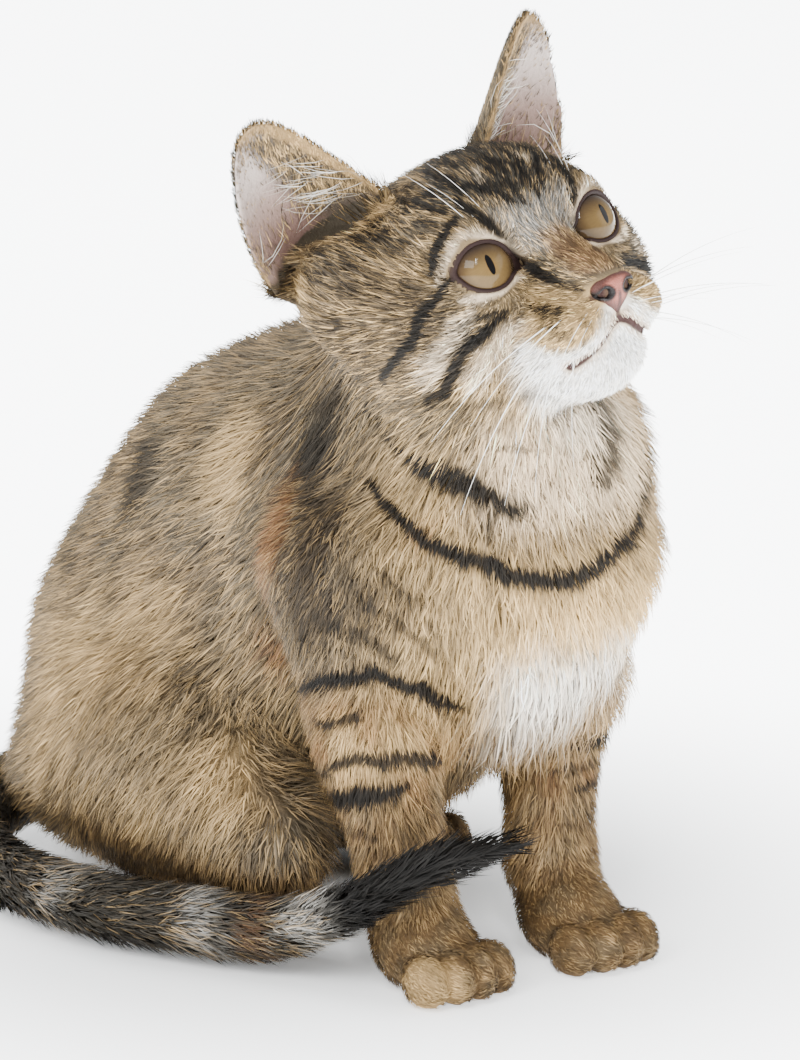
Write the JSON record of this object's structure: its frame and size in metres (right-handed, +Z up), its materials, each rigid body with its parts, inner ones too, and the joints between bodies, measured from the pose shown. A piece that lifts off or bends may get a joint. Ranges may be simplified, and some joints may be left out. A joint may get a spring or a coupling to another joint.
{
  "type": "tabby kitten",
  "caption": "Seated tabby kitten looking up with a tilted head, tail laid round its right side, as a still life-size model.",
  "frame": {"origin": "centre of the model's box on the floor plane", "axes": "+Z up, -Y the way the chest and face point, +X towards the kitten's left side"},
  "size_m": [0.1496, 0.2134, 0.2274],
  "materials": {
    "coat": "short dense tabby fur, brown and silver-grey ticking with dark stripes, tan and orange patches and a cream chest",
    "nose_leather": "bare pinkish brown skin, slightly moist, darker at the edge",
    "eye": "wet clear cornea over a hazel iris with a slit pupil"
  },
  "bodies": {
    "root": {"head": "coat", "nose": "nose_leather", "eye_right": "eye", "eye_left": "eye", "ear_right": "coat", "ear_left": "coat", "neck": "coat", "chest": "coat", "loins_and_rump": "coat", "upper_foreleg_right": "coat", "forearm_right": "coat", "forepaw_right": "coat", "upper_foreleg_left": "coat", "forearm_left": "coat", "forepaw_left": "coat", "haunch_right": "coat", "hind_foot_right": "coat", "haunch_left": "coat", "hind_foot_left": "coat", "tail_root": "coat", "tail_middle": "coat", "tail_end": "coat", "tail_tip": "coat"}
  },
  "joints": []
}
